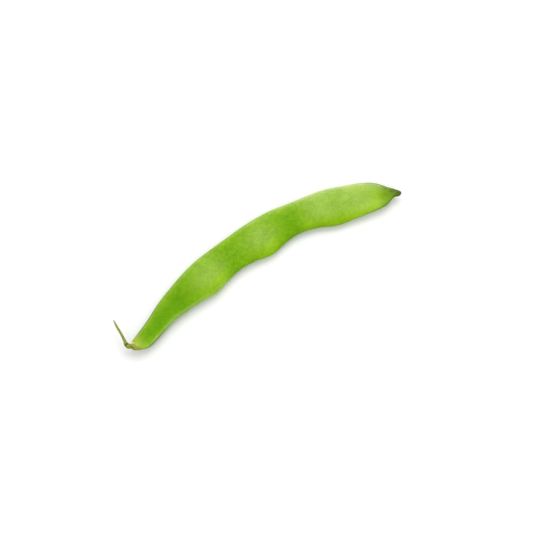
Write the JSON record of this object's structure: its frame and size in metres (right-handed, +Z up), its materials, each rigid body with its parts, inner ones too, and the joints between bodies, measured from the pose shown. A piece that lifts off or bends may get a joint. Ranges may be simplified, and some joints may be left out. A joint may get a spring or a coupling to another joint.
{
  "type": "flat bean",
  "caption": "Long, broad, flattened green bean pod, gently bowed, with a short beak at one end and a small calyx and thin stem at the other.",
  "frame": {"origin": "middle of the flat spot under the pod's middle swelling, on the surface that the bean lies on", "axes": "+X from the stem end to the beak, +Y towards the outside of the pod's bow, +Z up, square to the pod's broad faces"},
  "size_m": [0.1534, 0.0297, 0.0086],
  "materials": {
    "pod_skin": "fresh yellow-green pod skin, fine soft down, broad satin sheen",
    "calyx_scales": "thin dry scales, pale cream-green with brown edges",
    "stem_skin": "dark olive stalk skin with fine lengthwise ridges"
  },
  "bodies": {
    "root": {"pod": "pod_skin", "calyx": "calyx_scales", "stem": "stem_skin"}
  },
  "joints": []
}
